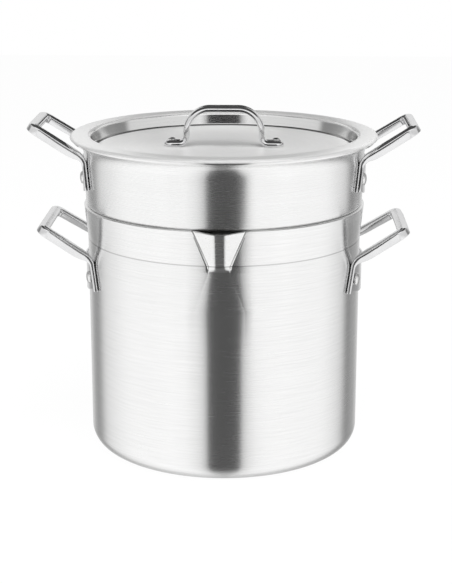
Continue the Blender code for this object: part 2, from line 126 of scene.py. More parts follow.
def roundEdges(piece, width, segments=3):
    applyModifier(
        piece, "BEVEL", width=width, segments=segments, limit_method="ANGLE", angle_limit=math.radians(50)
    )


def sheetWall(piece, thickness, edgeRound):
    # gives the drawn outer face its thickness, inwards
    applyModifier(
        piece, "SOLIDIFY", thickness=thickness, offset=-1, use_even_offset=True, use_quality_normals=True
    )
    roundEdges(piece, edgeRound)


def turnSheet(name, profile, sectors, thickness, edgeRound):
    # the profile is the outer face, which looks down at its lowest point
    piece = turnPiece(name, profile, sectors)
    lowest = min(piece.data.polygons, key=lambda face: face.center.z)
    if lowest.normal.z > 0:
        onWholeMesh(bpy.ops.mesh.flip_normals)
    sheetWall(piece, thickness, edgeRound)
    return piece


def smoothPiece(piece, angle):
    selectOnly(piece)
    bpy.ops.object.shade_smooth_by_angle(angle=math.radians(angle))


def setPiece(piece, place, turnY=0, turnZ=0):
    # turns and moves a piece made at the origin, and applies it
    selectOnly(piece)
    piece.rotation_euler = (0, turnY, turnZ)
    piece.location = place
    bpy.ops.object.transform_apply(location=True, rotation=True, scale=True)


def smoothStep(share):
    share = max(0, min(1, share))
    return share * share * (3 - 2 * share)


# water pot

waterPot = {
    "radius": 0.120,
    "height": 0.2193,
    "wall": 0.003,
    "baseCorner": 0.016,
    "collarHeight": 0.0294,
    "collarFlare": 0.003,
    "rimRound": 0.0008,
    "lipHalfWidth": 0.0213,
    "lipRootHalfWidth": 0.0088,
    "lipReach": 0.0058,
    "lipRootReach": 0.0012,
    "lipFoot": 0.006,  # below the collar's bend, where the lip runs out
    "lipDrawnFrom": 0.009,  # below the bend, where the wall starts to draw in
    "lipDip": 0.0013,
    "lipNose": 0.0052,
    "lipNoseRound": 0.0028,
    "lipBow": 0.06,
    "lipGroove": 0.0008,
    "lipGrooveWidth": 0.03,  # in shares of the lip's half width, as the next one
    "lipBlend": 1.4,
    "lipSteps": 140,
    "roundSteps": 180,
    "cornerSteps": 12,
    "baseRows": 3,
    "wallRows": 5,
    "footRows": 12,
    "collarRows": 28,
}

# painted shade in the lip's creases, on the lip and on the collar's inner face, from 0 to 1, and over what
# share of the collar or the lip it changes
paintedShadeMarks = {
    "creaseShade": 0.5,
    "creaseWidth": 0.05,
    "creaseStart": 0.16,
    "creaseRamp": 0.4,
    "lipShade": 0.08,
    "lipRamp": 0.25,
    "lipSideRamp": 0.125,
    "innerFrom": 0.8,
}


def lipCrest(spread, halfWidth):
    # 1 across the lip's flat nose, then down flat sides to 0 at its creases
    nose = waterPot["lipNose"] / halfWidth
    blend = waterPot["lipNoseRound"] / halfWidth
    fall = max(0, spread - nose)
    if abs(spread - nose) < blend:
        fall = (spread - nose + blend) ** 2 / (4 * blend)
    fall /= 1 - nose
    return 1 - fall - waterPot["lipBow"] * 4 * fall * (1 - fall)


def depthInWall(vert, rise):
    # how far a point of the unpressed pot is in from its outer face
    return waterPot["radius"] + waterPot["collarFlare"] * rise - vert.co.xy.length


def pressPouringLip(piece):
    # draws the wall in to the lip's creases and pushes the lip out, as the press does
    size = waterPot
    for vert in piece.data.vertices:
        above = vert.co.z - size["height"] + size["collarHeight"]
        angle = math.atan2(vert.co.x, -vert.co.y)
        spread = abs(angle) * size["radius"] / size["lipHalfWidth"]
        if above < -size["lipDrawnFrom"] or spread >= size["lipBlend"]:
            continue
        rise = max(0, above / size["collarHeight"])
        root = size["lipRootHalfWidth"]
        drawn = root + (size["lipHalfWidth"] - root) * rise
        narrow = drawn / size["lipHalfWidth"]
        if spread > 1:
            narrow += (1 - narrow) * (spread - 1) / (size["lipBlend"] - 1)
        runOut = smoothStep(1 + above / size["lipFoot"])
        reach = (size["lipRootReach"] + (size["lipReach"] - size["lipRootReach"]) * rise) * runOut
        crest = lipCrest(spread, drawn) if spread < 1 else 0
        # the creases are pressed into the outer face only
        outer = max(0, min(1, 1 - depthInWall(vert, rise) / size["wall"]))
        crease = max(0, 1 - abs(spread - 1) / size["lipGrooveWidth"])
        groove = size["lipGroove"] * runOut * outer * crease
        radius = vert.co.xy.length + reach * crest - groove
        vert.co.x = radius * math.sin(angle * narrow)
        vert.co.y = -radius * math.cos(angle * narrow)
        vert.co.z -= size["lipDip"] * crest * rise


def markShaded(piece):
    # painted shade, read by the pot's finish: 1 on the collar's inner face and less on the lip and in its
    # creases
    size = waterPot
    shadeMarks = paintedShadeMarks
    shaded = piece.data.attributes.new("shaded", "FLOAT", "POINT")
    for vert, mark in zip(piece.data.vertices, shaded.data):
        rise = max(0, (vert.co.z - size["height"]) / size["collarHeight"] + 1)
        spread = abs(math.atan2(vert.co.x, -vert.co.y)) * size["radius"] / size["lipHalfWidth"]
        crease = shadeMarks["creaseShade"] * smoothStep((rise - shadeMarks["creaseStart"]) / shadeMarks["creaseRamp"])
        crease *= max(0, 1 - abs(spread - 1) / shadeMarks["creaseWidth"])
        lip = shadeMarks["lipShade"] * smoothStep(rise / shadeMarks["lipRamp"])
        lip *= smoothStep((1 - spread) / shadeMarks["lipSideRamp"])
        inner = depthInWall(vert, rise) > size["wall"] * shadeMarks["innerFrom"]
        belowRim = vert.co.z < size["height"] - size["rimRound"]
        mark.value = 1 if rise > 0 and inner and belowRim else max(crease, lip)


def makeWaterPot():
    size = waterPot
    radius = size["radius"]
    corner = size["baseCorner"]
    bend = (radius, size["height"] - size["collarHeight"])
    rim = (radius + size["collarFlare"], size["height"])
    profile = [(0, 0)] + between((0, 0), (radius - corner, 0), size["baseRows"])
    profile += arcPoints(radius - corner, corner, corner, -90, 0, size["cornerSteps"])[1:]
    foot = (radius, bend[1] - size["lipFoot"])
    profile += between(profile[-1], foot, size["wallRows"])
    profile += between(foot, bend, size["footRows"])
    profile += between(bend, rim, size["collarRows"])
    # the lip's sector comes first and has the finer steps
    lipAngle = 2 * size["lipBlend"] * size["lipHalfWidth"] / radius
    sectors = [(lipAngle, size["lipSteps"]), (math.tau - lipAngle, size["roundSteps"])]
    piece = turnSheet("waterPot", profile, sectors, size["wall"], size["rimRound"])
    markShaded(piece)
    pressPouringLip(piece)
    smoothPiece(piece, 30)
    return piece


# insert

insertPot = {
    "wall": 0.0025,
    "rise": 0.0582,
    "depth": 0.092,
    "baseCorner": 0.018,
    "nestRadius": 0.1137,
    "radius": 0.1212,
    "flare": 0.001,
    "shoulderRound": 0.005,
    "ledgeRound": 0.0015,
    "neckRound": 0.0085,
    "neckDrop": 0.013,
    "wallEnd": 0.003,
    "lip": 0.0098,
    "lipRound": 0.0011,
    "roundSteps": 240,
    "cornerSteps": 12,
    "ledgeSteps": 5,
    "curveSteps": 10,
    "baseRows": 3,
    "wallRows": 8,
    "lipRows": 2,
}


def shoulderHeight():
    # where the shoulder's round rests on the water pot's rim
    rimInner = waterPot["radius"] + waterPot["collarFlare"] - waterPot["wall"]
    shoulderX = insertPot["radius"] - insertPot["shoulderRound"]
    reach = insertPot["shoulderRound"] + waterPot["rimRound"] + fitUp["seatGap"]
    across = rimInner + waterPot["rimRound"] - shoulderX
    return waterPot["height"] - waterPot["rimRound"] + math.sqrt(reach**2 - across**2)


def makeInsert():
    size = insertPot
    pour = waterPot["height"]
    base = pour - size["depth"]
    nest = size["nestRadius"]
    corner = size["baseCorner"]
    shoulder = shoulderHeight()
    ledge = shoulder - size["shoulderRound"]
    topRadius = size["radius"] + size["flare"]
    lipUnder = pour + size["rise"] - size["wall"]
    ledgeRound = size["ledgeRound"]
    shoulderX = size["radius"] - size["shoulderRound"]
    profile = [(0, base)] + between((0, base), (nest - corner, base), size["baseRows"])
    profile += arcPoints(nest - corner, base + corner, corner, -90, 0, size["cornerSteps"])[1:]
    profile += arcPoints(nest + ledgeRound, ledge - ledgeRound, ledgeRound, 180, 90, size["ledgeSteps"])
    profile += arcPoints(shoulderX, shoulder, size["shoulderRound"], -90, 0, size["curveSteps"])
    neck = [
        (topRadius + size["neckRound"] * (1 + x), lipUnder + size["neckDrop"] * (z - 1))
        for x, z in arcPoints(0, 0, 1, 180, 90, size["curveSteps"])
    ]
    profile += between(profile[-1], neck[0], size["wallRows"]) + neck[1:]
    profile += between(neck[-1], (topRadius + size["lip"], lipUnder), size["lipRows"])
    sectors = [(math.tau, size["roundSteps"])]
    piece = turnSheet("insertPot", profile, sectors, size["wall"], size["lipRound"])
    smoothPiece(piece, 30)
    return piece


# lid

lidSheet = {
    "sheet": 0.002,
    "overhang": 0.0022,
    "recess": 0.012,
    "plugGap": 0.002,
    "floorCorner": 0.004,
    "ringRound": 0.0015,
    "draft": 12,  # degrees, as edgeEnd is
    "edgeTurn": 0.0012,
    "edgeEnd": 10,
    "edgeRound": 0.0008,
    "roundSteps": 240,
    "cornerSteps": 8,
    "ringSteps": 6,
    "floorRows": 3,
}


def lidTop():
    return waterPot["height"] + insertPot["rise"] + fitUp["seatGap"] + lidSheet["sheet"]


def lidFloor():
    return lidTop() - lidSheet["recess"]


def plugRadius():
    # the outside of the recess wall at its top, inside the insert
    return insertPot["radius"] + insertPot["flare"] - insertPot["wall"] - lidSheet["plugGap"]


def recessRadius():
    # the inside of the recess wall at its top
    return plugRadius() - lidSheet["sheet"]


def makeLid():
    size = lidSheet
    under = lidTop() - size["sheet"]
    floorUnder = lidFloor() - size["sheet"]
    plug = plugRadius()
    insertEdge = insertPot["radius"] + insertPot["flare"] + insertPot["lip"]
    edge = insertEdge + size["overhang"] - size["sheet"] - size["edgeTurn"]
    corner = size["floorCorner"]
    ring = size["ringRound"]
    draft = size["draft"]
    ringEdge = arcPoints(plug + ring, under - ring, ring, 180 - draft, 90, size["ringSteps"])
    # the floor's corner starts where the leaning wall meets its round
    cornerEnd = arcPoints(0, floorUnder + corner, corner, -draft, -draft, 1)[0]
    lean = (ringEdge[0][1] - cornerEnd[1]) * math.tan(math.radians(draft))
    cornerX = ringEdge[0][0] - lean - cornerEnd[0]
    profile = [(0, floorUnder)] + between((0, floorUnder), (cornerX, floorUnder), size["floorRows"])
    profile += arcPoints(cornerX, floorUnder + corner, corner, -90, -draft, size["cornerSteps"])[1:]
    profile += ringEdge
    turn = size["edgeTurn"]
    profile += arcPoints(edge, under - turn, turn, 90, size["edgeEnd"], size["ringSteps"])
    sectors = [(math.tau, size["roundSteps"])]
    piece = turnSheet("lidSheet", profile, sectors, size["sheet"], size["edgeRound"])
    smoothPiece(piece, 30)
    return piece


# stamped side handles

sideHandle = {
    "sheet": 0.0018,
    "rise": math.radians(31.5),
    "bendRadius": 0.014,
    "web": 0.010,
    "tipWeb": 0.0092,
    "flange": 0.0080,
    "holeFlange": 0.0068,
    "leg": 0.0046,
    "sill": 0.0034,
    "shoulder": 0.0034,  # this and the next five are the folds' radii
    "cornerFold": 0.0020,
    "tipFold": 0.0068,
    "tipDrop": 0.0030,
    "holeShoulder": 0.0030,
    "sillFold": 0.0021,
    "tipCorner": 0.0115,
    "holeCorner": 0.007,
    "holeTipCorner": 0.003,
    "holeStart": 0.0025,
    "bendRise": 0.0115,
    "legDrop": 0.0085,
    "plateDrop": 0.0165,
    "rivetInset": 0.012,
    "edgeRound": 0.0004,
    "fullDepthAt": 1.6,  # in radii of the bend
    "levelAt": 1.5,  # in lengths of the bend
    "taperFrom": 0.45,  # in shares of the loop's length, as the next one
    "taperOver": 0.5,
    "armRows": (0.1, 0.25, 0.5, 0.75),
    "foldSteps": 5,
    "holeSteps": 7,
    "tipSteps": 12,
    "bendRows": 5,
    "plateRows": 8,
    "plateColumns": 20,
}
insertHandle = {"length": 0.0625, "foot": 0.047, "bend": 0.042, "tip": 0.037, "rivets": 0.2453}
potHandle = {"length": 0.0605, "foot": 0.058, "bend": 0.051, "tip": 0.0445, "rivets": 0.159}


def halfWidth(size, along):
    if along < 0:
        drop = sideHandle["bendRise"] + sideHandle["legDrop"]
        return size["bend"] + (size["foot"] - size["bend"]) * -along / drop
    return size["bend"] + (size["tip"] - size["bend"]) * along / size["length"]


def armStations(size):
    # outer and hole points up one arm, round the tip and down the other arm
    kit = sideHandle
    pairs = []
    for step in range(1, kit["holeSteps"] + 1):
        angle = math.pi / 2 / kit["holeSteps"] * step
        along = kit["holeStart"] + kit["holeCorner"] * (1 - math.cos(angle))
        inset = kit["web"] + kit["holeCorner"] * (1 - math.sin(angle))
        pairs.append(((along, halfWidth(size, along)), (along, halfWidth(size, along) - inset)))
    start = pairs[-1][0][0]
    first = kit["bendRadius"] * (math.pi / 2 - kit["rise"])
    last = size["length"] - kit["tipCorner"]
    rows = [start + (first - start) * (step + 1) / kit["bendRows"] for step in range(kit["bendRows"])]
    rows += [first + (last - first) * share for share in kit["armRows"]]
    for along in rows:
        pairs.append(((along, halfWidth(size, along)), (along, halfWidth(size, along) - kit["web"])))
    holeAlong = size["length"] - kit["tipWeb"] - kit["holeTipCorner"]
    holeSide = halfWidth(size, holeAlong) - kit["web"] - kit["holeTipCorner"]
    side = halfWidth(size, last) - kit["tipCorner"]
    for step in range(kit["tipSteps"] + 1):
        angle = math.pi / 2 / kit["tipSteps"] * step
        reach = Vector((math.sin(angle), math.cos(angle)))
        outer = Vector((last, side)) + reach * kit["tipCorner"]
        hole = Vector((holeAlong, holeSide)) + reach * kit["holeTipCorner"]
        pairs.append((tuple(outer), tuple(hole)))
    return pairs + [((outer[0], -outer[1]), (hole[0], -hole[1])) for outer, hole in reversed(pairs)]


def edgeMiters(line):
    # how far each point of a line moves to push both its edges out to the left by 1
    closed = line[0] == line[-1]
    lefts = []
    for start, end in zip(line, line[1:]):
        run = (end.co - start.co).normalized()
        lefts.append(Vector((-run.y, run.x, 0)))
    miters = []
    for before, after in zip([lefts[-1 if closed else 0]] + lefts, lefts + [lefts[0 if closed else -1]]):
        miters.append((before + after) / (1 + before.dot(after)))
    return miters


def foldDown(form, line, size, depths, folds):
    # turns the blank's edge down on a rounded fold: depths at the plate and up the arm, then the fold's radius
    # at the plate, up the arm and at the tip's corner, and how far in and down it goes along the tip
    kit = sideHandle
    plateDepth, armDepth = depths
    plateFold, armFold, cornerFold, tipFold, tipDrop = folds
    length = size["length"]
    tipSide = halfWidth(size, length - kit["tipCorner"]) - kit["tipCorner"]
    closed = line[0] == line[-1]
    columns = []
    for vert, miter in list(zip(line, edgeMiters(line)))[: -1 if closed else None]:
        share = smoothStep(vert.co.x / (kit["bendRadius"] * kit["fullDepthAt"]))
        depth = plateDepth + (armDepth - plateDepth) * share
        taper = smoothStep((vert.co.x / length - kit["taperFrom"]) / kit["taperOver"])
        fold = plateFold + (armFold - plateFold) * share + (cornerFold - armFold) * taper
        rolled = smoothStep(1 - (abs(vert.co.y) - tipSide) / kit["tipCorner"]) if taper else 0
        foldRadius = fold + (tipFold - fold) * rolled
        foldDrop = fold + (tipDrop - fold) * rolled
        edge = vert.co.copy()
        vert.co = edge - miter * foldRadius
        column = [vert]
        for step in range(1, kit["foldSteps"] + 1):
            angle = math.pi / 2 * step / kit["foldSteps"]
            inset = miter * foldRadius * (1 - math.sin(angle))
            drop = Vector((0, 0, foldDrop * (1 - math.cos(angle))))
            column.append(form.verts.new(edge - inset - drop))
        column.append(form.verts.new(edge - Vector((0, 0, depth))))
        columns.append(column)
    if closed:
        columns.append(columns[0])
    for column, after in zip(columns, columns[1:]):
        for step in range(len(column) - 1):
            form.faces.new((column[step], column[step + 1], after[step + 1], after[step]))


def cutBlank(name, size):
    # the flat blank: the base plate, both arms and the tip, its edges folded down
    kit = sideHandle
    rows = kit["plateRows"]
    columns = kit["plateColumns"]
    legEnd = -kit["bendRise"] - kit["legDrop"]
    middleEnd = -kit["bendRise"] - kit["plateDrop"]
    form = bmesh.new()
    grid = []
    for row in range(rows + 1):
        share = row / rows
        line = []
        for column in range(-1, columns + 2):
            across = max(-1, min(1, column * 2 / columns - 1))
            bottom = legEnd + (middleEnd - legEnd) * (1 - across**2)
            along = bottom + (kit["holeStart"] - bottom) * share
            half = halfWidth(size, along)
            if 0 <= column <= columns:
                half -= kit["web"] + kit["holeCorner"] * share
            line.append(form.verts.new((along, across * half, 0)))
        grid.append(line)
    for low, high in zip(grid, grid[1:]):
        for index in range(len(low) - 1):
            form.faces.new((low[index], high[index], high[index + 1], low[index + 1]))
    arch = [(grid[-1][-1], grid[-1][-2])]
    for outer, hole in armStations(size):
        arch.append((form.verts.new((*outer, 0)), form.verts.new((*hole, 0))))
    arch.append((grid[-1][0], grid[-1][1]))
    for (outer, hole), (nextOuter, nextHole) in zip(arch, arch[1:]):
        form.faces.new((outer, hole, nextHole, nextOuter))
    outerLine = [line[-1] for line in grid] + [outer for outer, hole in arch[1:-1]]
    outerLine += [line[0] for line in reversed(grid)]
    holeLine = grid[-1][1:-1] + [hole for outer, hole in arch[1:-1]] + [grid[-1][1]]
    outerFolds = (kit["shoulder"], kit["shoulder"], kit["cornerFold"], kit["tipFold"], kit["tipDrop"])
    foldDown(form, outerLine, size, (kit["leg"], kit["flange"]), outerFolds)
    holeFolds = (kit["sillFold"], kit["holeShoulder"]) + (kit["sillFold"],) * 3
    foldDown(form, holeLine[::-1], size, (kit["sill"], kit["holeFlange"]), holeFolds)
    bmesh.ops.recalc_face_normals(form, faces=form.faces)
    web = max(form.faces, key=lambda face: abs(face.normal.z) * face.calc_area())
    if web.normal.z < 0:
        bmesh.ops.reverse_faces(form, faces=form.faces)
    mesh = bpy.data.meshes.new(name)
    form.to_mesh(mesh)
    form.free()
    piece = bpy.data.objects.new(name, mesh)
    bpy.context.scene.collection.objects.link(piece)
    return piece


def bendHandle(piece, size, wallRadius):
    # wraps the base plate round the wall and turns the loop out and up
    kit = sideHandle
    bendHeight = size["rivets"] + kit["bendRise"]
    turnAngle = math.pi / 2 - kit["rise"]
    turnLength = kit["bendRadius"] * turnAngle
    armAcross = size["bend"] - kit["web"] / 2
    for vert in piece.data.vertices:
        along, across, drop = vert.co.x, vert.co.y, -vert.co.z
        angle = max(0, min(turnAngle, along / kit["bendRadius"]))
        straight = max(0, along - turnLength)
        height = bendHeight + min(0, along) + kit["bendRadius"] * math.sin(angle)
        reach = kit["bendRadius"] * (1 - math.cos(angle)) + straight * math.cos(kit["rise"])
        height += straight * math.sin(kit["rise"])
        radius = wallRadius(min(height, bendHeight)) + fitUp["seatGap"]
        share = smoothStep(along / (turnLength * kit["levelAt"]))
        wall = math.sqrt(radius**2 - across**2)
        level = math.sqrt(radius**2 - armAcross**2)
        out = wall + (level - wall) * share + reach + drop * math.cos(angle)
        vert.co = (out, across, height - drop * math.sin(angle))


def makeHandle(name, size, wallRadius, leftSide):
    piece = cutBlank(name, size)
    sheetWall(piece, sideHandle["sheet"], sideHandle["edgeRound"])
    bendHandle(piece, size, wallRadius)
    if leftSide:
        setPiece(piece, (0, 0, 0), turnZ=math.pi)
    smoothPiece(piece, 35)
    return piece


def potWall(height):
    return waterPot["radius"]


def insertWall(height):
    start = shoulderHeight()
    end = waterPot["height"] + insertPot["rise"] - insertPot["wall"] - insertPot["wallEnd"]
    return insertPot["radius"] + insertPot["flare"] * (height - start) / (end - start)


# rivets

sideRivet = {"head": 0.0055, "crown": 0.0028, "shank": 0.003, "tail": 0.0045, "tailHeight": 0.0016}
lidRivet = {"head": 0.0034, "crown": 0.0018, "shank": 0.0019, "tail": 0.0034, "tailHeight": 0.0012}

# what both kinds share: the tail's flat face and the head's upright edge in shares of the tail and the crown
rivetForm = {
    "tailFace": 0.7,
    "headEdge": 0.25,
    "edgeRound": 0.0003,
    "edgeSteps": 2,
    "crownSteps": 8,
    "roundSteps": 32,
}


def rivetProfile(size, grip):
    # from the tail's face round to the crown, the head's underside at 0
    head, crown, tail, shank = size["head"], size["crown"], size["tail"], size["shank"]
    bottom = -grip - size["tailHeight"]
    edge = crown * rivetForm["headEdge"]
    profile = [(0, bottom), (tail * rivetForm["tailFace"], bottom), (tail, -grip)]
    profile += [(shank, -grip), (shank, 0), (head, 0), (head, edge)]
    for across, up in arcPoints(0, 0, 1, 0, 90, rivetForm["crownSteps"])[1:]:
        profile.append((head * across, edge + (crown - edge) * up))
    return profile


def makeRivet(name, size, grip):
    piece = turnPiece(name, rivetProfile(size, grip), [(math.tau, rivetForm["roundSteps"])])
    roundEdges(piece, rivetForm["edgeRound"], rivetForm["edgeSteps"])
    smoothPiece(piece, 40)
    return piece


# lid handle

strap = {
    "sheet": 0.002,
    "width": 0.0144,
    "crown": 0.003,
    "edgeFold": 0.0022,
    "span": 0.0707,
    "length": 0.105,
    "height": 0.0355,
    "corner": 0.023,
    "footBend": 0.0035,
    "footCurve": 1.5,  # how fast the foot's round end drops to its edge
    "edgeRound": 0.0007,
    "footSteps": 10,
    "bendSteps": 8,
    "cornerSteps": 18,
    "flatColumns": 4,
    "foldSteps": 6,
}


def strapLine():
    # the underside from one foot's round end to the top's middle: x, z, the way its edges turn, then shares of
    # the width and of the crown
    size = strap
    footHeight = lidFloor() + fitUp["seatGap"] + size["crown"]
    top = lidFloor() + size["height"]
    side = size["span"] / 2
    endCentre = size["length"] / 2 - size["width"] / 2
    half = size["width"] / 2 - size["sheet"]
    line = []
    for along, width in arcPoints(0, 0, 1, 0, 90, size["footSteps"])[1:]:
        line.append((-endCentre - half * along, footHeight, (0, -1), width, (1 - width) ** size["footCurve"]))
    radius = size["footBend"] + size["sheet"]
    for across, up in arcPoints(0, 0, 1, -90, 0, size["bendSteps"]):
        x = -side - size["footBend"] + across * radius
        line.append((x, footHeight + radius + up * radius, (across, up), 1, 0))
    radius = size["corner"] - size["sheet"]
    for across, up in arcPoints(0, 0, 1, 180, 90, size["cornerSteps"]):
        x = -side + size["corner"] + across * radius
        line.append((x, top - size["corner"] + up * radius, (-across, -up), 1, 0))
    return line


def strapAcross():
    # across the underside from one edge to the other: share of the half width, share of the crown
    half = strap["width"] / 2 - strap["sheet"]
    fold = strap["edgeFold"]
    rows = [(0, 0)] + between((0, 0), ((half - fold) / half, 0), strap["flatColumns"])
    for across, up in arcPoints(0, 0, 1, 90, 0, strap["foldSteps"])[1:]:
        rows.append(((half - fold + fold * across) / half, fold / strap["crown"] * (1 - up)))
    rows += [(1, (1 + fold / strap["crown"]) / 2), (1, 1)]
    return [(-share, fall) for share, fall in reversed(rows[1:])] + rows


def makeLidHandle():
    # a grid laid along the strap's line, its edges turned down, then given its thickness
    line = strapLine()
    line += [(-x, z, (-nx, nz), width, fall) for x, z, (nx, nz), width, fall in reversed(line)]
    rows = strapAcross()
    bpy.ops.object.select_all(action="DESELECT")
    bpy.ops.mesh.primitive_grid_add(x_subdivisions=len(line) - 1, y_subdivisions=len(rows) - 1, size=2)
    piece = bpy.context.active_object
    piece.name = "lidStrap"
    piece.data.name = "lidStrap"
    for vert in piece.data.vertices:
        x, z, (nx, nz), width, footFall = line[round((vert.co.x + 1) / 2 * (len(line) - 1))]
        share, fall = rows[round((vert.co.y + 1) / 2 * (len(rows) - 1))]
        down = strap["crown"] * max(fall, footFall)
        across = share * width * (strap["width"] / 2 - strap["sheet"])
        vert.co = (x + nx * down, across, z + nz * down)
    onWholeMesh(bpy.ops.mesh.normals_make_consistent, inside=False)
    middle = min(piece.data.polygons, key=lambda face: face.center.xy.length)
    offset = -1 if middle.normal.z < 0 else 1
    applyModifier(piece, "SOLIDIFY", thickness=strap["sheet"], offset=offset, use_even_offset=True)
    roundEdges(piece, strap["edgeRound"])
    smoothPiece(piece, 40)
    return piece


# finishes

finishes = {
    "potWall": {
        "colour": (0.97, 0.97, 0.967),
        "roughness": 0.26,
        "roughnessSpread": 0.04,
        "anisotropy": 0.94,
        "lines": 1500,
        "lineDepth": 0.008,
        "lineShade": 0.09,
        # how far the painted shade marks darken the wall
        "shadedDepth": 0.65,
    },
    "insertWall": {
        "colour": (0.97, 0.97, 0.967),
        "roughness": 0.27,
        "roughnessSpread": 0.04,
        "anisotropy": 0.92,
        "lines": 1500,
        "lineDepth": 0.008,
        "lineShade": 0.07,
    },
    "lidFace": {
        "colour": (0.90, 0.90, 0.895),
        "roughness": 0.34,
        "roughnessSpread": 0.05,
        "anisotropy": 0.60,
        "metallic": 0.45,
        "floorMetallic": 0.25,
        "lines": 1300,
        "lineDepth": 0.006,
        "lineShade": 0.07,
        "wallRoughness": 0.14,
    },
}

# what the turned finishes share: how the lines and marks are mixed, and the greys of the painted shade lines
# along edges and of the painted shade marks
turnedLook = {
    "around": 3,
    "broadAround": 1.2,
    "broadDensity": 1 / 3,
    "broadShare": 0.12,
    "lineRange": (0.35, 0.62),
    "markScale": 9,
    "markShare": 0.3,
    "roughRange": (0.35, 0.65),
    "bump": 0.25,
    "paintedLineGrey": 0.05,
    "paintedMarkGrey": 0.03,
}

# rings round the axis: painted shade lines along bends, corners and where parts meet, and masks of the lid's
# recess; half sizes across and up, how far out and up from their edge, and, for the painted shade lines, how
# dark
shadeAndMaskRings = {
    "bend": {"half": (0.004, 0.0007), "shift": (0, 0), "depth": 0.35},
    "rim": {"half": (0.004, 0.0008), "shift": (0, 0), "depth": 0.05},
    "shoulder": {"half": (0.004, 0.0018), "shift": (0, -0.0035), "depth": 0.1},
    "floorCorner": {"half": (0.0016, 0.0016), "shift": (-0.0002, 0.0004), "depth": 0.6},
    "ringEdge": {"half": (0.0010, 0.0010), "shift": (0.0004, 0), "depth": 0.6},
    "recessWall": {"half": (0.0046, 0.0095), "shift": (-0.0010, -0.0010)},
    "recessFloor": {"half": (0.21, 0.004), "shift": (0, 0)},
}

brightPlate = {"colour": (0.86, 0.86, 0.865), "roughness": 0.13, "roughnessSpread": 0.08, "ripple": 0.00006}
rivetMetal = {"colour": (0.88, 0.88, 0.875), "roughness": 0.26, "roughnessSpread": 0.12, "ripple": 0.00005}

# what the formed finishes share
formedLook = {
    "markScale": 60,
    "markShade": 0.07,
    "markRange": (0.35, 0.6),
    "roughRange": (0.35, 0.65),
    "rippleScale": 240,
    "bump": 0.3,
}


def addNode(tree, kind, values=None, **settings):
    # a value is a number, a colour or another node's output, and goes to the input of its name or place
    node = tree.nodes.new(kind)
    for setting, value in settings.items():
        setattr(node, setting, value)
    for name, value in (values or {}).items():
        if isinstance(value, bpy.types.NodeSocket):
            tree.links.new(value, node.inputs[name])
        else:
            node.inputs[name].default_value = value
    return node


def newGroup(name, values, result):
    # a node group with an input for each value and one output
    group = bpy.data.node_groups.new(name, "ShaderNodeTree")
    for entry, value in values.items():
        socket = group.interface.new_socket(name=entry, in_out="INPUT", socket_type="NodeSocketFloat")
        socket.default_value = value
    group.interface.new_socket(name=result, in_out="OUTPUT", socket_type="NodeSocketFloat")
    inputs = addNode(group, "NodeGroupInput").outputs
    return group, inputs, addNode(group, "NodeGroupOutput").inputs[result]


def splitPlace(tree, kind):
    place = addNode(tree, "ShaderNodeTexCoord").outputs[kind]
    return addNode(tree, "ShaderNodeSeparateXYZ", {0: place}).outputs


def mathNode(tree, operation, *values):
    return addNode(tree, "ShaderNodeMath", dict(enumerate(values)), operation=operation).outputs[0]


def sumOfSquares(tree, first, second):
    return mathNode(
        tree, "ADD", mathNode(tree, "MULTIPLY", first, first), mathNode(tree, "MULTIPLY", second, second)
    )


def mapRange(tree, value, fromLow, fromHigh, toLow, toHigh):
    values = {"Value": value, "From Min": fromLow, "From Max": fromHigh, "To Min": toLow, "To Max": toHigh}
    return addNode(tree, "ShaderNodeMapRange", values).outputs[0]


def mixShades(tree, share, first, second):
    # first and second are each a grey, a colour or a node's output
    values = {0: share}
    for index, shade in ((6, first), (7, second)):
        if isinstance(shade, (int, float)):
            shade = (shade, shade, shade)
        values[index] = (*shade, 1) if isinstance(shade, tuple) else shade
    return addNode(tree, "ShaderNodeMix", values, data_type="RGBA").outputs[2]


def mixParts(tree, first, second, share):
    # two values added, the second one's weight being share
    return mathNode(
        tree, "ADD", mathNode(tree, "MULTIPLY", first, 1 - share), mathNode(tree, "MULTIPLY", second, share)
    )


def makeTurnedLines():
    # lines that run round the Z axis on walls and flat faces alike, as brushing and spinning leave
    group, inputs, result = newGroup("turnedLines", {"Density": 900, "Around": 3}, "Lines")
    x, y, z = splitPlace(group, "Object")
    radius = mathNode(group, "SQRT", mathNode(group, "MAXIMUM", sumOfSquares(group, x, y), 0.0000001))
    values = {2: mathNode(group, "MULTIPLY", radius, inputs["Density"])}
    for index, part in enumerate((x, y)):
        turn = mathNode(group, "DIVIDE", part, radius)
        values[index] = mathNode(group, "MULTIPLY", turn, inputs["Around"])
    join = addNode(group, "ShaderNodeCombineXYZ", values)
    grain = {
        "Vector": join.outputs[0],
        "W": mathNode(group, "MULTIPLY", z, inputs["Density"]),
        "Scale": 1,
        "Detail": 5,
        "Roughness": 0.62,
    }
    noise = addNode(group, "ShaderNodeTexNoise", grain, noise_dimensions="4D")
    group.links.new(noise.outputs[0], result)
    return group


def makeRingMask():
    # 1 on a circle round the Z axis at a given radius and height, fading to 0 over a width
    values = {"Radius": 0.1, "Height": 0.1, "Half Radial": 0.001, "Half Height": 0.001}
    group, inputs, result = newGroup("ringMask", values, "Seam")
    x, y, z = splitPlace(group, "Object")
    radius = mathNode(group, "SQRT", sumOfSquares(group, x, y))
    away = mathNode(group, "SUBTRACT", radius, inputs["Radius"])
    above = mathNode(group, "SUBTRACT", z, inputs["Height"])
    away = mathNode(group, "DIVIDE", away, inputs["Half Radial"])
    above = mathNode(group, "DIVIDE", above, inputs["Half Height"])
    near = mapRange(group, mathNode(group, "SQRT", sumOfSquares(group, away, above)), 0.5, 1, 1, 0)
    group.links.new(near, result)
    return group


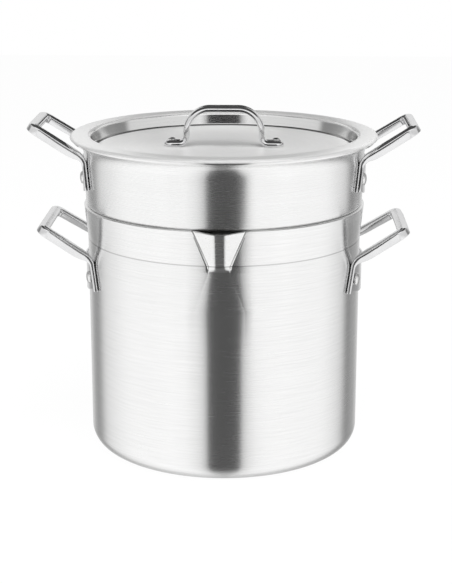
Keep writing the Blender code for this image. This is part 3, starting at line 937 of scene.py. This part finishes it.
def makeHandledMarks():
    # soft patches where hands and cloths have been
    group, inputs, result = newGroup("handledMarks", {"Scale": 22}, "Marks")
    place = addNode(group, "ShaderNodeTexCoord").outputs["Object"]
    blur = {"Vector": place, "Scale": inputs["Scale"], "Detail": 4, "Roughness": 0.55, "Distortion": 0.6}
    noise = addNode(group, "ShaderNodeTexNoise", blur, noise_dimensions="3D")
    group.links.new(noise.outputs[0], result)
    return group


def placeGroup(tree, group, values):
    return addNode(tree, "ShaderNodeGroup", values, node_tree=group).outputs[0]


def placeRingMask(tree, groups, name, radius, height):
    out, up = shadeAndMaskRings[name]["shift"]
    across, tall = shadeAndMaskRings[name]["half"]
    values = {"Radius": radius + out, "Height": height + up, "Half Radial": across, "Half Height": tall}
    return placeGroup(tree, groups["ringMask"], values)


def newMetal(name):
    material = bpy.data.materials.new(name)
    material.use_nodes = True
    shader = material.node_tree.nodes["Principled BSDF"]
    shader.inputs["Metallic"].default_value = 1
    return material, material.node_tree, shader


def colourFrom(tree, value, look, darker, limits):
    dark = tuple(part * (1 - darker) for part in look["colour"])
    return mixShades(tree, mapRange(tree, value, *limits, 0, 1), dark, look["colour"])


def roughFrom(tree, value, look, limits):
    low = look["roughness"] - look["roughnessSpread"] / 2
    return mapRange(tree, value, *limits, low, low + look["roughnessSpread"])


def addBump(tree, shader, value, strength, distance):
    bump = addNode(tree, "ShaderNodeBump", {"Height": value, "Strength": strength, "Distance": distance})
    tree.links.new(bump.outputs[0], shader.inputs["Normal"])


def turnedMetal(name, look, groups, edges):
    # satin metal with fine lines round the axis, with painted shade lines along the given edges
    kit = turnedLook
    material, tree, shader = newMetal(name)
    shader.inputs["Anisotropic"].default_value = look["anisotropy"]
    shader.inputs["Anisotropic Rotation"].default_value = 0.25
    fineLines = {"Density": look["lines"], "Around": kit["around"]}
    broadLines = {"Density": look["lines"] * kit["broadDensity"], "Around": kit["broadAround"]}
    fine = placeGroup(tree, groups["turnedLines"], fineLines)
    broad = placeGroup(tree, groups["turnedLines"], broadLines)
    marks = placeGroup(tree, groups["handledMarks"], {"Scale": kit["markScale"]})
    lines = mixParts(tree, fine, broad, kit["broadShare"])
    shade = colourFrom(tree, lines, look, look["lineShade"], kit["lineRange"])
    # painted shade lines along bends, corners and where parts meet
    for edge, (radius, height) in edges.items():
        shadeRing = placeRingMask(tree, groups, edge, radius, height)
        share = mathNode(tree, "MULTIPLY", shadeRing, shadeAndMaskRings[edge]["depth"])
        shade = mixShades(tree, share, shade, kit["paintedLineGrey"])
    # painted shade from the shaded marks: the collar's inner face, the lip and its creases
    if "shadedDepth" in look:
        shaded = addNode(tree, "ShaderNodeAttribute", attribute_name="shaded")
        share = mathNode(tree, "MULTIPLY", shaded.outputs["Fac"], look["shadedDepth"])
        shade = mixShades(tree, share, shade, kit["paintedMarkGrey"])
    tree.links.new(shade, shader.inputs["Base Color"])
    rough = roughFrom(tree, mixParts(tree, lines, marks, kit["markShare"]), look, kit["roughRange"])
    if "wallRoughness" in look:
        rough = finishRecess(tree, shader, look, groups, rough)
    tree.links.new(rough, shader.inputs["Roughness"])
    addBump(tree, shader, lines, kit["bump"], look["lineDepth"] / 1000)
    return material


def finishRecess(tree, shader, look, groups, rough):
    # the lid's recess wall is brighter than its faces, and its floor less metallic
    wall = placeRingMask(tree, groups, "recessWall", recessRadius(), lidTop() - lidSheet["recess"] / 2)
    floor = placeRingMask(tree, groups, "recessFloor", 0, lidFloor())
    metal = mapRange(tree, floor, 0, 1, look["metallic"], look["floorMetallic"])
    tree.links.new(mathNode(tree, "MAXIMUM", metal, wall), shader.inputs["Metallic"])
    values = {0: wall, 2: rough, 3: look["wallRoughness"]}
    return addNode(tree, "ShaderNodeMix", values, data_type="FLOAT").outputs[0]


def formedMetal(name, look, groups):
    # bright metal that was pressed to shape: faint ripples and rubbed patches, no lines
    kit = formedLook
    material, tree, shader = newMetal(name)
    marks = placeGroup(tree, groups["handledMarks"], {"Scale": kit["markScale"]})
    ripples = placeGroup(tree, groups["handledMarks"], {"Scale": kit["rippleScale"]})
    shade = colourFrom(tree, marks, look, kit["markShade"], kit["markRange"])
    tree.links.new(shade, shader.inputs["Base Color"])
    tree.links.new(roughFrom(tree, marks, look, kit["roughRange"]), shader.inputs["Roughness"])
    addBump(tree, shader, ripples, kit["bump"], look["ripple"])
    return material


def finishPiece(piece, material, node, body):
    piece.data.materials.clear()
    piece.data.materials.append(material)
    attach(piece, body)
    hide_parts(node)


# studio

studio = {
    "cameraPlace": (0.04213, -1.28612, 0.494552),
    "cameraTurn": (74.393, 0, 1.8),
    "lens": 91.67,
    "sensor": 36,
    "facing": 1.8,
}

# the floor as light meets it, and the brightness and share of the white that the camera sees instead
paleFloor = {"size": 6, "height": -0.0002, "shade": 0.85, "white": 1.04, "whiteShare": 0.92}

softTop = {"place": (0.2, -0.5, 1.6), "aim": (0, 0, 0.15), "size": 1.2, "energy": 21}

# cards that only reflections see: middle, half sizes across and up, and brightness
cards = {
    "frontCard": {"place": (0.011, -0.35, -0.035), "half": (0.073, 0.365), "shade": 0.08},
    "insertCard": {"place": (0.022, -0.351, 0.240), "half": (0.080, 0.085), "shade": 0.10},
    "backCard": {"place": (-0.003, 0.5, 0.524), "half": (0.127, 0.176), "shade": 0.03},
    "backRightCard": {"place": (0.092, 0.499, 0.350), "half": (0.032, 0.020), "shade": 0.03},
    "recessCard": {"place": (0.0135, -0.35, 0.42), "half": (0.112, 0.10), "shade": 0.02},
    "leftCard": {"place": (-0.215, -0.35, 0.175), "half": (0.07, 0.13), "shade": 1.0},
    "rightCard": {"place": (0.200, -0.35, 0.175), "half": (0.07, 0.13), "shade": 1.0},
}

# where the room's parts meet, in degrees: lowToHigh, toOverhead and ceilingStart are heights above the horizon,
# ceilingFrom and ceilingTo are measured from the camera's side over the top
roomParts = {
    "lowToHigh": (-5, 8),
    "toOverhead": (20, 34),
    "overhead": 1.1,
    "ceilingStart": (24, 36),
    "ceilingFrom": (50, 60),
    "ceilingTo": (138, 150),
    "ceiling": 0.07,
}

# brightness round the room by degrees from the camera, left below 0, for directions that point down and up
roomLow = [
    (-180, 0.60), (-162, 0.76), (-155, 0.62), (-149, 0.38), (-142, 0.31), (-134, 0.30), (-129, 0.48),
    (-123, 0.78), (-108, 0.93), (-85, 1.05), (-50, 1.07), (-32, 1.00), (-20, 0.82), (-13, 0.50), (13, 0.50),
    (20, 0.82), (32, 1.00), (50, 1.07), (90, 1.03), (105, 0.94), (117, 0.80), (122, 0.62),
    (126, 0.30), (131, 0.22), (138, 0.33), (149, 0.37), (156, 0.52), (163, 0.74), (180, 0.60),
]
roomHighSide = [
    (12, 0.12), (17, 0.50), (22, 0.90), (30, 0.75), (95, 0.72), (101, 0.25), (126, 0.25), (135, 0.50),
    (150, 0.78), (180, 0.80),
]
roomHigh = [(-degrees, shade) for degrees, shade in reversed(roomHighSide)] + roomHighSide


def placeCamera():
    bpy.ops.object.camera_add(location=studio["cameraPlace"])
    camera = bpy.context.active_object
    camera.rotation_euler = [math.radians(part) for part in studio["cameraTurn"]]
    camera.data.lens = studio["lens"]
    camera.data.sensor_width = studio["sensor"]
    bpy.context.scene.camera = camera


def shadeRamp(tree, value, stops):
    ramp = addNode(tree, "ShaderNodeValToRGB", {0: value})
    while len(ramp.color_ramp.elements) < len(stops):
        ramp.color_ramp.elements.new(0.5)
    for element, (place, shade) in zip(ramp.color_ramp.elements, stops):
        element.position = place
    for element, (place, shade) in zip(ramp.color_ramp.elements, stops):
        element.color = (shade, shade, shade, 1)
    return ramp.outputs[0]


def turnFrom(tree, first, second):
    # the angle of two parts of a direction, in degrees
    return mathNode(tree, "DEGREES", mathNode(tree, "ARCTAN2", first, second))


def lightRoom():
    # a room whose brightness goes by direction, white where the camera sees it
    kit = roomParts
    world = bpy.data.worlds.new("studioRoom")
    bpy.context.scene.world = world
    world.use_nodes = True
    tree = world.node_tree
    background = tree.nodes["Background"]
    x, y, z = splitPlace(tree, "Generated")
    sine = math.sin(math.radians(studio["facing"]))
    cosine = math.cos(math.radians(studio["facing"]))
    xSine, xCosine = mathNode(tree, "MULTIPLY", x, sine), mathNode(tree, "MULTIPLY", x, cosine)
    ySine, yCosine = mathNode(tree, "MULTIPLY", y, sine), mathNode(tree, "MULTIPLY", y, cosine)
    towards = mathNode(tree, "SUBTRACT", xSine, yCosine)
    across = mathNode(tree, "ADD", xCosine, ySine)
    share = mapRange(tree, turnFrom(tree, across, towards), -180, 180, 0, 1)
    low = shadeRamp(tree, share, [(degrees / 360 + 0.5, shade) for degrees, shade in roomLow])
    high = shadeRamp(tree, share, [(degrees / 360 + 0.5, shade) for degrees, shade in roomHigh])
    flat = mathNode(tree, "SQRT", sumOfSquares(tree, x, y))
    height = turnFrom(tree, z, flat)
    room = mixShades(tree, mapRange(tree, height, *kit["lowToHigh"], 0, 1), low, high)
    room = mixShades(tree, mapRange(tree, height, *kit["toOverhead"], 0, 1), room, kit["overhead"])
    over = turnFrom(tree, z, towards)
    begins = mapRange(tree, over, *kit["ceilingFrom"], 0, 1)
    ends = mapRange(tree, over, *kit["ceilingTo"], 1, 0)
    above = mapRange(tree, height, *kit["ceilingStart"], 0, 1)
    dim = mathNode(tree, "MULTIPLY", mathNode(tree, "MULTIPLY", begins, ends), above)
    room = mixShades(tree, dim, room, kit["ceiling"])
    rays = addNode(tree, "ShaderNodeLightPath")
    seen = mixShades(tree, rays.outputs["Is Camera Ray"], room, 1)
    tree.links.new(seen, background.inputs["Color"])
    background.inputs["Strength"].default_value = 1


def bareMaterial(name):
    # nothing but the output, to which its own shader goes
    material = bpy.data.materials.new(name)
    material.use_nodes = True
    tree = material.node_tree
    tree.nodes.remove(tree.nodes["Principled BSDF"])
    return material, tree, tree.nodes["Material Output"].inputs["Surface"]


def hangCard(name, card):
    # a lit or dark card that shows in reflections only
    piece = addPlane(name, 2)
    piece.scale = (*card["half"], 1)
    bpy.ops.object.transform_apply(location=False, rotation=False, scale=True)
    piece.rotation_euler = (math.pi / 2, 0, math.radians(studio["facing"]))
    piece.location = card["place"]
    material, tree, surface = bareMaterial(name)
    glow = addNode(tree, "ShaderNodeEmission", {"Color": (1, 1, 1, 1), "Strength": card["shade"]})
    tree.links.new(glow.outputs[0], surface)
    piece.data.materials.append(material)
    piece.visible_camera = False
    piece.visible_diffuse = False
    piece.visible_shadow = False


def layFloor():
    shade = paleFloor["shade"]
    floor = addPlane("studioFloor", paleFloor["size"], (0, 0, paleFloor["height"]))
    material, tree, surface = bareMaterial("paleFloor")
    matt = addNode(tree, "ShaderNodeBsdfDiffuse", {"Color": (shade, shade, shade, 1)})
    white = addNode(tree, "ShaderNodeEmission", {"Strength": paleFloor["white"]})
    rays = addNode(tree, "ShaderNodeLightPath")
    share = mathNode(tree, "MULTIPLY", rays.outputs["Is Camera Ray"], paleFloor["whiteShare"])
    mix = addNode(tree, "ShaderNodeMixShader", {0: share, 1: matt.outputs[0], 2: white.outputs[0]})
    tree.links.new(mix.outputs[0], surface)
    floor.data.materials.append(material)
    floor.visible_glossy = False


def placeLamp(name, look):
    bpy.ops.object.light_add(type="AREA", location=look["place"])
    lamp = bpy.context.active_object
    lamp.name = name
    lamp.data.size = look["size"]
    lamp.data.energy = look["energy"]
    lamp.visible_glossy = False
    aim = Vector(look["aim"]) - Vector(look["place"])
    lamp.rotation_euler = aim.to_track_quat("-Z", "Y").to_euler()


# building

def buildRivets(prefix, handle, wall, wallRadius, material, body):
    radius = wallRadius(handle["rivets"])
    spread = math.asin((handle["bend"] - sideHandle["rivetInset"]) / radius)
    grip = wall + 2 * fitUp["seatGap"] + sideHandle["sheet"] + fitUp["tailGap"]
    out = radius + 2 * fitUp["seatGap"] + sideHandle["sheet"]
    for side, facing in (("right", 0), ("left", math.pi)):
        for end, angle in (("front", -spread), ("back", spread)):
            azimuth = facing + (angle if side == "right" else -angle)
            node = f"{prefix}_rivet_{side}_{end}"
            rivet = makeRivet(node + "Head", sideRivet, grip)
            place = (out * math.cos(azimuth), out * math.sin(azimuth), handle["rivets"])
            setPiece(rivet, place, turnY=math.pi / 2, turnZ=azimuth)
            finishPiece(rivet, material, node, body)


def buildHandles(prefix, size, wallRadius, material, body):
    for side in ("left", "right"):
        node = f"{prefix}_handle_{side}"
        handle = makeHandle(node + "Loop", size, wallRadius, side == "left")
        finishPiece(handle, material, node, body)


def buildLidRivets(material):
    seat = fitUp["seatGap"]
    middle = (strap["length"] / 2 + strap["span"] / 2 + strap["footBend"]) / 2
    footTop = lidFloor() + seat + strap["crown"] + strap["sheet"]
    grip = footTop - lidFloor() + lidSheet["sheet"] + 2 * seat
    for side, x in (("left", -middle), ("right", middle)):
        node = f"lid_rivet_{side}"
        rivet = makeRivet(node + "Head", lidRivet, grip)
        setPiece(rivet, (x, 0, footTop + seat))
        finishPiece(rivet, material, node, "lid")


def buildPot():
    placeCamera()
    lightRoom()
    layFloor()
    for name, card in cards.items():
        hangCard(name, card)
    placeLamp("softTop", softTop)
    print("studio ready")
    groups = {"turnedLines": makeTurnedLines(), "handledMarks": makeHandledMarks(), "ringMask": makeRingMask()}
    rim = waterPot["height"]
    # where the painted shade lines run: the collar's bend, the rim under the insert, the insert's shoulder and
    # the lid recess's corners
    potEdges = {
        "bend": (waterPot["radius"], rim - waterPot["collarHeight"]),
        "rim": (waterPot["radius"], rim),
    }
    floorRadius = recessRadius() - lidSheet["recess"] * math.tan(math.radians(lidSheet["draft"]))
    lidEdges = {"floorCorner": (floorRadius, lidFloor()), "ringEdge": (recessRadius(), lidTop())}
    insertEdges = {"shoulder": (insertPot["radius"], shoulderHeight())}
    potMetal = turnedMetal("brushedWall", finishes["potWall"], groups, potEdges)
    insertMetal = turnedMetal("brushedInsert", finishes["insertWall"], groups, insertEdges)
    lidMetal = turnedMetal("spunLid", finishes["lidFace"], groups, lidEdges)
    plate = formedMetal("brightPlate", brightPlate, groups)
    rivet = formedMetal("rivetMetal", rivetMetal, groups)
    print("finishes mixed")
    finishPiece(makeWaterPot(), potMetal, "lower_pot", "water_pot")
    finishPiece(makeInsert(), insertMetal, "insert_pot", "insert")
    finishPiece(makeLid(), lidMetal, "lid", "lid")
    print("pots and lid turned")
    buildHandles("lower", potHandle, potWall, plate, "water_pot")
    buildHandles("insert", insertHandle, insertWall, plate, "insert")
    print("side handles stamped")
    finishPiece(makeLidHandle(), plate, "lid_handle", "lid")
    buildRivets("lower", potHandle, waterPot["wall"], potWall, rivet, "water_pot")
    buildRivets("insert", insertHandle, insertPot["wall"], insertWall, rivet, "insert")
    buildLidRivets(rivet)
    print("lid handle and rivets set")


bpy.context.scene.view_settings.view_transform = "Standard"
buildPot()
